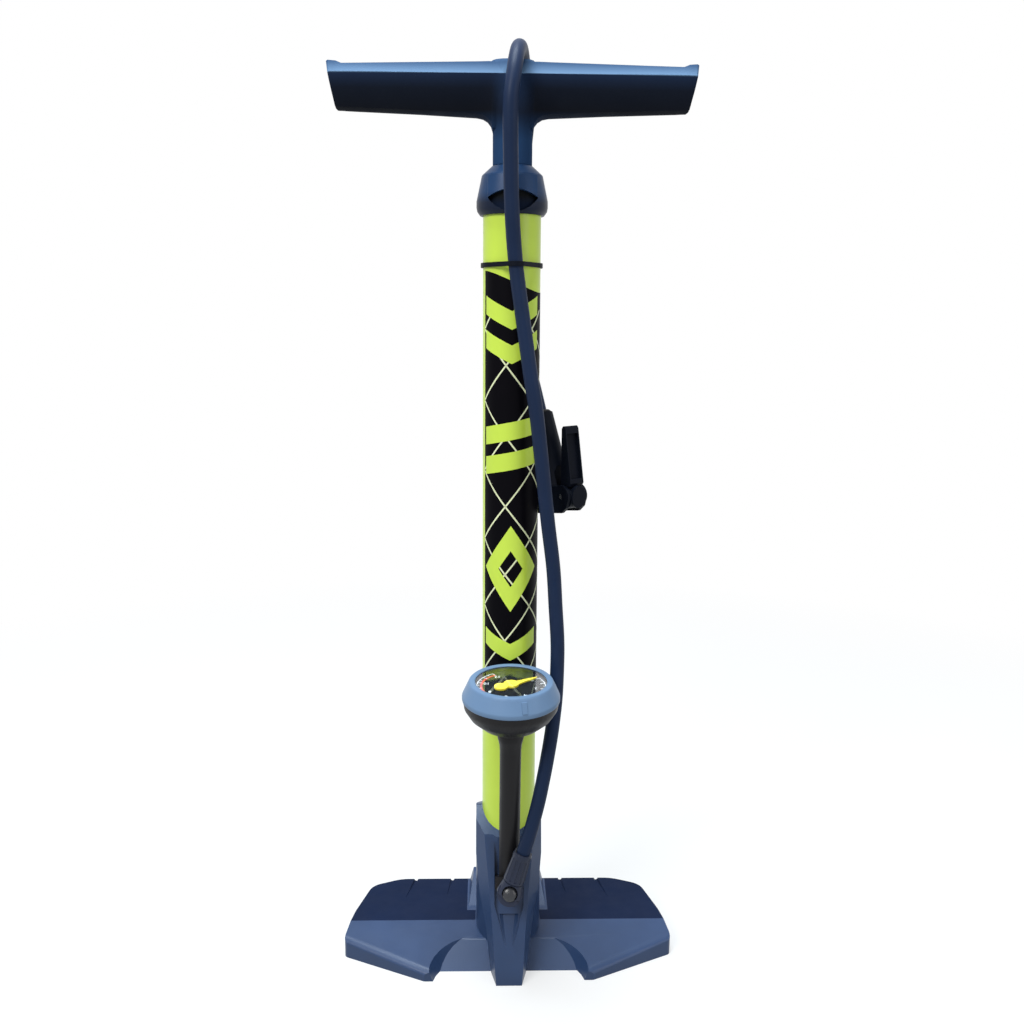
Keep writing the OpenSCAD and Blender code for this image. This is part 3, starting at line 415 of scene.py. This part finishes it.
GAUGE = Matrix.Translation(mm(0, -53.5, 213.7)) @ Matrix.Rotation(math.radians(4.4), 4, "X")
DIAL_FACE = 8.2
DIAL_ZERO = 32
DIAL_SWEEP = 270
DIAL_TOP = 12
DIAL_LIFT = 0.02
DIAL_FILM = 0.04
SCALE_RING = (22.4, 22.9)
FINE_TICK = (20.9, 22.4)
WHOLE_TICK = (19.6, 22.4)
RED_BAND = (19.1, 20.3)
RED_FROM = 8
NUMBER_RADIUS = 16.6
NUMBER_SIZE = 4.2


def dial_angle(value):
    """Turn on the dial, in radians, of a value on its scale: clockwise from the needle's rest."""
    return math.radians(DIAL_ZERO - DIAL_SWEEP * value / DIAL_TOP)


def dial_film(name, bm):
    """A print on the dial, from a mesh in the dial's own millimetres."""
    onto_dial = GAUGE @ Matrix.Scale(MM, 4) @ Matrix.Translation((0, 0, DIAL_FACE + DIAL_LIFT))
    bmesh.ops.transform(bm, matrix=onto_dial, verts=bm.verts)
    return thicken(add_object(name, mesh_of(name, bm), "base"), DIAL_FILM)


def tick_marks(values, radii, width):
    inner, outer = radii
    bm = bmesh.new()
    for value in values:
        turn = dial_angle(value)
        ahead = Vector((math.cos(turn), math.sin(turn), 0))
        side = Vector((-ahead.y, ahead.x, 0)) * width / 2
        bm.faces.new([bm.verts.new(p) for p in (
            ahead * inner - side, ahead * outer - side, ahead * outer + side, ahead * inner + side)])
    return bm


def scale_arc(start, radii):
    """A band from a value to the scale's end."""
    bm = bmesh.new()
    steps = 60
    turns = [dial_angle(start + (DIAL_TOP - start) * k / steps) for k in range(steps + 1)]
    rims = [[bm.verts.new((r * math.cos(t), r * math.sin(t), 0)) for r in radii] for t in turns]
    for a, b in zip(rims, rims[1:]):
        bm.faces.new((a[0], b[0], b[1], a[1]))
    bmesh.ops.reverse_faces(bm, faces=[f for f in bm.faces if f.normal.z < 0])
    return bm


def number_mesh(text):
    """A number as flat faces, centred, in millimetres."""
    curve = bpy.data.curves.new("number", "FONT")
    curve.body = text
    curve.size = NUMBER_SIZE
    curve.align_x = "CENTER"
    curve.align_y = "CENTER"
    obj = bpy.data.objects.new("number", curve)
    bm = bmesh.new()
    mesh = obj.to_mesh()
    bm.from_mesh(mesh)
    obj.to_mesh_clear()
    bpy.data.objects.remove(obj)
    bpy.data.curves.remove(curve)
    return bm


def dial_numbers(values):
    """The scale's numbers, to be read from behind the pump."""
    numbers = bmesh.new()
    for value in values:
        one = number_mesh(str(value))
        turn = dial_angle(value)
        place = Matrix.Translation((NUMBER_RADIUS * math.cos(turn), NUMBER_RADIUS * math.sin(turn), 0))
        bmesh.ops.transform(one, matrix=place @ Matrix.Rotation(math.pi, 4, "Z"), verts=one.verts)
        mesh = mesh_of("number", one)
        numbers.from_mesh(mesh)
        bpy.data.meshes.remove(mesh)
    return numbers


def make_dial():
    halves = [v / 2 for v in range(2 * DIAL_TOP + 1)]
    wholes = range(DIAL_TOP + 1)
    evens = range(0, DIAL_TOP + 1, 2)
    white = [
        dial_film("dial_ring", scale_arc(0, SCALE_RING)),
        dial_film("dial_fine_ticks", tick_marks(halves, FINE_TICK, width=0.35)),
        dial_film("dial_ticks", tick_marks(wholes, WHOLE_TICK, width=0.6)),
        dial_film("dial_numbers", dial_numbers(evens))]
    red = [dial_film("dial_red_band", scale_arc(RED_FROM, RED_BAND))]
    return {"dial_white": white, "dial_red": red}


# Materials

NAVY = srgb(44, 65, 101)
NAVY_DEEP = srgb(31, 60, 98)
# Dark navy painted as shade, on the cap's lower band and at the bottom of the pocket film.
NAVY_PAINTED_SHADE = srgb(16, 28, 50)
YELLOW = srgb(214, 243, 84)
HANDLE_Z = (557, 621)
# Heights in mm where the handle's painted shade and painted highlight change colour.
NECK_TOP = 572
HUB_LOW = 588
GRIP_LOW = 590
GRIP_MIDDLE = 602
GRIP_CREASE = 610.5
HUB_HALF = (6, 14)
CAP_Z = (520, 560)


class Shader:
    """A material's node tree, with its Principled shader and object coordinates in metres."""

    def __init__(self, name):
        self.material = bpy.data.materials.new(name)
        self.material.use_nodes = True
        self.tree = self.material.node_tree
        self.surface = self.tree.nodes["Principled BSDF"]
        self.output = self.tree.nodes["Material Output"]
        self.place = self.add("ShaderNodeTexCoord").outputs["Object"]

    def add(self, kind, **settings):
        node = self.tree.nodes.new(kind)
        for key, value in settings.items():
            setattr(node, key, value)
        return node

    def join(self, source, target):
        self.tree.links.new(source, target)

    def set(self, **sockets):
        for key, value in sockets.items():
            self.surface.inputs[key.replace("_", " ")].default_value = value

    def noise(self, scale, detail=3.0, rough=0.5, stretch=None):
        node = self.add("ShaderNodeTexNoise")
        node.inputs["Scale"].default_value = scale
        node.inputs["Detail"].default_value = detail
        node.inputs["Roughness"].default_value = rough
        if stretch:
            mapping = self.add("ShaderNodeMapping")
            mapping.inputs["Scale"].default_value = stretch
            self.join(self.place, mapping.inputs["Vector"])
            self.join(mapping.outputs["Vector"], node.inputs["Vector"])
        else:
            self.join(self.place, node.inputs["Vector"])
        return node.outputs["Fac"]

    def spread(self, value, low, high, start=0.3, end=0.7):
        node = self.add("ShaderNodeMapRange")
        for key, number in (("From Min", start), ("From Max", end), ("To Min", low), ("To Max", high)):
            node.inputs[key].default_value = number
        self.join(value, node.inputs["Value"])
        return node.outputs["Result"]

    def ramp(self, value, *stops):
        node = self.add("ShaderNodeValToRGB")
        while len(node.color_ramp.elements) < len(stops):
            node.color_ramp.elements.new(0.5)
        for element, (position, colour) in zip(node.color_ramp.elements, stops):
            element.position = position
            element.color = colour
        self.join(value, node.inputs["Fac"])
        return node.outputs["Color"]

    def bump(self, value, depth, strength=1.0):
        node = self.add("ShaderNodeBump")
        node.inputs["Strength"].default_value = strength
        node.inputs["Distance"].default_value = depth
        self.join(value, node.inputs["Height"])
        return node.outputs["Normal"]


def scaled(colour, factor):
    return tuple(min(1.0, c * factor) for c in colour[:3]) + (1.0,)


def etched(s, rough, shine, grain=0.02, grain_scale=1400):
    """A fine etched grain with faint clouds of gloss, as moulded plastic has."""
    s.join(s.spread(s.noise(90, detail=4), rough - 0.05, rough + 0.05), s.surface.inputs["Roughness"])
    s.join(s.bump(s.noise(grain_scale, detail=2), grain * MM), s.surface.inputs["Normal"])
    s.set(Specular_IOR_Level=shine)


def moulded(name, colour, rough, shine=0.2, grain=0.02, grain_scale=1400, spread=0.1):
    """Moulded plastic or rubber of one colour, with faint clouds in it."""
    s = Shader(name)
    clouds = s.noise(28, detail=5)
    tone = s.ramp(clouds, (0.3, scaled(colour, 1 - spread)), (0.7, scaled(colour, 1 + spread)))
    s.join(tone, s.surface.inputs["Base Color"])
    etched(s, rough, shine, grain, grain_scale)
    return s.material


def metal(name, colour, rough, stretch):
    """Turned or drawn metal, with fine lines along one direction."""
    s = Shader(name)
    lines = s.noise(900, detail=4, stretch=stretch)
    tone = s.ramp(lines, (0.3, scaled(colour, 0.9)), (0.7, scaled(colour, 1.08)))
    s.join(tone, s.surface.inputs["Base Color"])
    s.join(s.spread(lines, rough - 0.06, rough + 0.08), s.surface.inputs["Roughness"])
    s.join(s.bump(lines, 0.01 * MM, 0.4), s.surface.inputs["Normal"])
    s.set(Metallic=1.0)
    return s.material


def lacquer(name, colour, rough, shine=0.3, coat=0.2):
    """Painted or printed barrel finish under a clear coat, with faint orange peel."""
    s = Shader(name)
    clouds = s.noise(18, detail=4)
    tone = s.ramp(clouds, (0.3, scaled(colour, 0.95)), (0.7, scaled(colour, 1.04)))
    s.join(tone, s.surface.inputs["Base Color"])
    s.join(s.spread(s.noise(160, detail=3), rough - 0.04, rough + 0.05), s.surface.inputs["Roughness"])
    s.join(s.bump(s.noise(420, detail=2), 0.012 * MM, 0.5), s.surface.inputs["Normal"])
    s.set(Specular_IOR_Level=shine, Coat_Weight=coat, Coat_Roughness=0.18)
    return s.material


def clear_lens(name):
    """The gauge's window: clear plastic that lets the lamps reach the dial."""
    s = Shader(name)
    s.set(Base_Color=(0.96, 0.98, 1.0, 1.0), Roughness=0.02, IOR=1.49, Transmission_Weight=1.0)
    see_through = s.add("ShaderNodeBsdfTransparent")
    rays = s.add("ShaderNodeLightPath")
    mix = s.add("ShaderNodeMixShader")
    s.join(rays.outputs["Is Shadow Ray"], mix.inputs["Fac"])
    s.join(s.surface.outputs["BSDF"], mix.inputs[1])
    s.join(see_through.outputs["BSDF"], mix.inputs[2])
    s.join(mix.outputs["Shader"], s.output.inputs["Surface"])
    return s.material


def by_height(s, levels, *stops):
    """Colours by height in millimetres, between two levels of the object."""
    low, high = levels
    split = s.add("ShaderNodeSeparateXYZ")
    s.join(s.place, split.inputs["Vector"])
    rise = s.spread(split.outputs["Z"], 0.0, 1.0, start=low * MM, end=high * MM)
    return s.ramp(rise, *[((z - low) / (high - low), colour) for z, colour in stops])


def beside_neck(s):
    """0 on the neck and the hub, 1 out along both grips."""
    split = s.add("ShaderNodeSeparateXYZ")
    s.join(s.place, split.inputs["Vector"])
    away = s.add("ShaderNodeMath", operation="ABSOLUTE")
    s.join(split.outputs["X"], away.inputs[0])
    near, far = HUB_HALF
    return s.spread(away.outputs["Value"], 0.0, 1.0, start=near * MM, end=far * MM)


def grip_plastic(name, neck):
    """The handle's plastic: a navy neck, painted shade on the hub and grips, a painted highlight along the
    grips' top.
    """
    s = Shader(name)
    under_crease = GRIP_CREASE - 0.2
    # Painted highlight: a lighter band above the crease, standing in for the sheen on the grips' top.
    painted_highlight_band = ((GRIP_CREASE + 0.3, srgb(104, 134, 168)), (GRIP_CREASE + 7, srgb(60, 86, 120)))
    # Painted shade: the hub and the grips darken towards their bottom.
    hub = ((NECK_TOP, neck), (HUB_LOW, srgb(27, 37, 56)), (under_crease, srgb(34, 52, 82)))
    grip = ((NECK_TOP, neck), (GRIP_LOW, srgb(19, 22, 30)), (GRIP_MIDDLE, srgb(22, 28, 41)),
            (under_crease, srgb(30, 44, 70)))
    mix = s.add("ShaderNodeMix", data_type="RGBA")
    s.join(beside_neck(s), mix.inputs["Factor"])
    s.join(by_height(s, HANDLE_Z, *hub, *painted_highlight_band), mix.inputs["A"])
    s.join(by_height(s, HANDLE_Z, *grip, *painted_highlight_band), mix.inputs["B"])
    s.join(mix.outputs["Result"], s.surface.inputs["Base Color"])
    etched(s, rough=0.75, shine=0.06)
    return s.material


def graded(name, rough, shine, levels, *stops):
    """Moulded plastic whose colour changes with the height."""
    s = Shader(name)
    s.join(by_height(s, levels, *stops), s.surface.inputs["Base Color"])
    etched(s, rough, shine)
    return s.material


MATERIALS = {
    "navy_plastic": moulded("navy_plastic", NAVY, 0.36, shine=0.36),
    # The cap is darker below 533 mm: painted shade on its lower band.
    "cap_plastic_painted_shade": graded("cap_plastic_painted_shade", 0.38, 0.16, CAP_Z, (533, NAVY_PAINTED_SHADE), (540, NAVY_DEEP)),
    # The handle: painted highlight along the grips' top and painted shade on the hub and grips.
    "grip_painted_sheen_and_shade": grip_plastic("grip_painted_sheen_and_shade", srgb(40, 69, 108)),
    # Painted shade for the cap's pocket: near black under the brow, fading to the painted-shade navy below.
    "pocket_painted_shade": graded("pocket_painted_shade", 0.6, 0.05, CAP_Z, (531.5, NAVY_PAINTED_SHADE), (537, srgb(17, 20, 22))),
    "tread_rubber": moulded("tread_rubber", srgb(15, 29, 57), 0.65, shine=0.1, grain=0.05, grain_scale=800),
    "barrel_paint": lacquer("barrel_paint", YELLOW, 0.32),
    "black_rubber": moulded("black_rubber", srgb(28, 29, 32), 0.62),
    "grey_plastic": moulded("grey_plastic", srgb(72, 78, 88), 0.5),
    "steel": metal("steel", srgb(190, 194, 200), 0.3, (1, 1, 0.05)),
    "poppet_rubber": moulded("poppet_rubber", srgb(140, 60, 48), 0.6),
    "white_plastic": moulded("white_plastic", srgb(218, 220, 214), 0.4, spread=0.03),
    "chrome_rod": metal("chrome_rod", srgb(205, 209, 214), 0.16, (1, 1, 0.02)),
    "bezel_plastic": moulded("bezel_plastic", srgb(108, 136, 170), 0.4, spread=0.04),
    "black_plastic": moulded("black_plastic", srgb(31, 30, 32), 0.42, shine=0.15),
    "lens": clear_lens("lens"),
    "dial_print": moulded("dial_print", srgb(18, 22, 28), 0.5, shine=0.1, grain=0.005),
    "needle_yellow": moulded("needle_yellow", srgb(226, 206, 66), 0.4, spread=0.04, grain=0.005),
    "brass": metal("brass", srgb(196, 164, 92), 0.32, (1, 1, 1)),
    "hose_rubber": moulded("hose_rubber", srgb(27, 42, 70), 0.46, shine=0.12, grain=0.012, grain_scale=700),
    "lever_plastic": moulded("lever_plastic", srgb(14, 18, 28), 0.45, shine=0.06),
    "elbow_plastic": moulded("elbow_plastic", srgb(36, 43, 63), 0.36, shine=0.25),
    "screw_plastic": moulded("screw_plastic", srgb(40, 42, 48), 0.25, shine=0.5),
    "wrap_black": lacquer("wrap_black", srgb(7, 6, 11), 0.4, shine=0.04, coat=0.0),
    "print_yellow": lacquer("print_yellow", YELLOW, 0.32),
    "print_cream": lacquer("print_cream", srgb(240, 246, 200), 0.4),
    "dial_white": moulded("dial_white", srgb(232, 236, 238), 0.5, spread=0.02, grain=0.003),
    "dial_red": moulded("dial_red", srgb(214, 58, 52), 0.5, spread=0.03, grain=0.003),
}


def paint(obj, material):
    slots = obj.material_slots
    if not slots:
        obj.data.materials.append(MATERIALS[material])
    for slot in slots:
        slot.material = MATERIALS[material]
    return obj


paint(make_hose(), "hose_rubber")
paint(make_spring(), "steel")
paint(make_barrel(), "barrel_paint")
for pieces in (make_print(), make_dial(), {"pocket_painted_shade": [make_pocket()]}):
    for material, films in pieces.items():
        for film in films:
            paint(film, material)


# CAD nodes: softened edges and finishes

NODE_FINISH = {
    "handle": "grip_painted_sheen_and_shade", "chuck_body": "lever_plastic", "hose_elbow": "elbow_plastic",
    "hose_nut": "elbow_plastic", "elbow_screw": "screw_plastic", "barrel_cap": "cap_plastic_painted_shade",
    "hose_tie": "lever_plastic"}
EDGE_WIDTH = {
    "base_foot": 0.8, "left_tread": 0.6, "right_tread": 0.6, "handle": 0.7, "barrel_cap": 0.5,
    "gauge_bezel": 0.35, "gauge_cup": 0.4, "hose_elbow": 0.5, "hose_nut": 0.2, "chuck_body": 0.5,
    "chuck_lever": 0.5, "chuck_collar": 0.3, "chuck_ferrule": 0.3, "hose_tie": 0.25,
    "gauge_needle": 0.25, "gauge_stem": 0.4}
EDGE_ANGLE = 30
EDGE_SEGMENTS = 3
FLAT_ANGLE = 0.5
SMOOTH_ANGLE = 32


def smooth_by_angle():
    """A modifier's node group that shades smooth, except across edges sharper than an angle."""
    group = bpy.data.node_groups.new("smooth_by_angle", "GeometryNodeTree")
    group.interface.new_socket("Geometry", in_out="INPUT", socket_type="NodeSocketGeometry")
    group.interface.new_socket("Geometry", in_out="OUTPUT", socket_type="NodeSocketGeometry")
    source = group.nodes.new("NodeGroupInput")
    angle = group.nodes.new("GeometryNodeInputMeshEdgeAngle")
    gentle = group.nodes.new("FunctionNodeCompare")
    gentle.operation = "LESS_EQUAL"
    gentle.inputs[1].default_value = math.radians(SMOOTH_ANGLE)
    faces = group.nodes.new("GeometryNodeSetShadeSmooth")
    edges = group.nodes.new("GeometryNodeSetShadeSmooth")
    edges.domain = "EDGE"
    result = group.nodes.new("NodeGroupOutput")
    group.links.new(angle.outputs["Unsigned Angle"], gentle.inputs[0])
    group.links.new(source.outputs["Geometry"], faces.inputs["Geometry"])
    group.links.new(faces.outputs["Geometry"], edges.inputs["Geometry"])
    group.links.new(gentle.outputs[0], edges.inputs["Shade Smooth"])
    group.links.new(edges.outputs["Geometry"], result.inputs["Geometry"])
    return group


smoothing = smooth_by_angle()


def soften(obj, width):
    """Rounds a CAD node's sharp edges, on top of its unchanged mesh."""
    weld = obj.modifiers.new("weld", "WELD")
    weld.merge_threshold = 0.002 * MM
    flat = obj.modifiers.new("flat", "DECIMATE")
    flat.decimate_type = "DISSOLVE"
    flat.angle_limit = math.radians(FLAT_ANGLE)
    bevel = obj.modifiers.new("edges", "BEVEL")
    bevel.limit_method = "ANGLE"
    bevel.angle_limit = math.radians(EDGE_ANGLE)
    bevel.width = width * MM
    bevel.segments = EDGE_SEGMENTS
    bevel.use_clamp_overlap = True
    obj.modifiers.new("smooth", "NODES").node_group = smoothing
    shade = obj.modifiers.new("shade", "WEIGHTED_NORMAL")
    shade.keep_sharp = True


def finish_nodes():
    for part in frame["record"]["subparts"]:
        node = part["node"]
        paint(nodes[node], NODE_FINISH.get(node, part["material_slot"]))
    for node, width in EDGE_WIDTH.items():
        soften(nodes[node], width)


finish_nodes()


# Stage

FLOOR_HALF = 6
FLOOR_GREY = (0.36, 0.36, 0.36, 1)
FLOOR_LIFT = 0.6
FLOOR_FADE = (0.45, 1.1)
SKY_COLOUR = (0.86, 0.93, 1.0, 1)
SKY_STRENGTH = 0.2
WHITE = (1, 1, 1, 1)


def sees_background(tree):
    """One for the rays that look at the background: from the camera, in reflections and through glass."""
    rays = tree.nodes.new("ShaderNodeLightPath")
    seen = rays.outputs["Is Camera Ray"]
    for ray in ("Is Glossy Ray", "Is Transmission Ray"):
        either = tree.nodes.new("ShaderNodeMath")
        either.operation = "MAXIMUM"
        tree.links.new(seen, either.inputs[0])
        tree.links.new(rays.outputs[ray], either.inputs[1])
        seen = either.outputs[0]
    return seen


def make_floor():
    """A pale floor that keeps the pump's shadow and turns into the white background further out."""
    bm = bmesh.new()
    bmesh.ops.create_grid(bm, x_segments=1, y_segments=1, size=FLOOR_HALF)
    floor = add_object("floor", closed_mesh("floor", bm, smooth=False))
    s = Shader("floor")
    s.set(Base_Color=FLOOR_GREY, Roughness=0.95, Specular_IOR_Level=0.0)
    reach = s.add("ShaderNodeVectorMath", operation="LENGTH")
    s.join(s.place, reach.inputs[0])
    near, far = FLOOR_FADE
    fade = s.spread(reach.outputs["Value"], 0.0, 1.0, start=near, end=far)
    lift = s.add("ShaderNodeEmission")
    lift.inputs["Strength"].default_value = FLOOR_LIFT
    shadowed = s.add("ShaderNodeAddShader")
    s.join(s.surface.outputs["BSDF"], shadowed.inputs[0])
    s.join(lift.outputs["Emission"], shadowed.inputs[1])
    white = s.add("ShaderNodeEmission")
    outwards = s.add("ShaderNodeMixShader")
    s.join(fade, outwards.inputs["Fac"])
    s.join(shadowed.outputs["Shader"], outwards.inputs[1])
    s.join(white.outputs["Emission"], outwards.inputs[2])
    seen = s.add("ShaderNodeMixShader")
    s.join(sees_background(s.tree), seen.inputs["Fac"])
    s.join(s.surface.outputs["BSDF"], seen.inputs[1])
    s.join(outwards.outputs["Shader"], seen.inputs[2])
    s.join(seen.outputs["Shader"], s.output.inputs["Surface"])
    floor.data.materials.append(s.material)


def make_world():
    world = bpy.data.worlds.new("studio")
    world.use_nodes = True
    bpy.context.scene.world = world
    tree = world.node_tree
    sky = tree.nodes["Background"]
    sky.inputs["Color"].default_value = SKY_COLOUR
    sky.inputs["Strength"].default_value = SKY_STRENGTH
    white = tree.nodes.new("ShaderNodeBackground")
    white.inputs["Color"].default_value = WHITE
    mix = tree.nodes.new("ShaderNodeMixShader")
    tree.links.new(sees_background(tree), mix.inputs["Fac"])
    tree.links.new(sky.outputs["Background"], mix.inputs[1])
    tree.links.new(white.outputs["Background"], mix.inputs[2])
    tree.links.new(mix.outputs["Shader"], tree.nodes["World Output"].inputs["Surface"])


def add_light(name, place, aim, size, power, colour=(1, 1, 1)):
    data = bpy.data.lights.new(name, "AREA")
    data.shape = "RECTANGLE"
    data.size, data.size_y = size
    data.energy = power
    data.color = colour
    lamp = bpy.data.objects.new(name, data)
    bpy.context.scene.collection.objects.link(lamp)
    lamp.location = place
    lamp.rotation_mode = "QUATERNION"
    lamp.rotation_quaternion = (Vector(aim) - Vector(place)).to_track_quat("-Z", "Y")


make_floor()
make_world()
add_light("top_softbox", (-0.2, -0.05, 2.4), (0, 0, 0.3), (1.1, 1.1), 60, (0.84, 0.94, 1.0))
add_light("left_softbox", (-0.9, -1.3, 1.5), (0, 0, 0.35), (0.8, 0.8), 22, (1.0, 0.99, 0.96))
add_light("right_fill", (1.3, -0.9, 0.8), (0, 0, 0.3), (0.8, 1.2), 5, (1.0, 0.98, 0.95))

bpy.context.scene.view_settings.view_transform = "Standard"
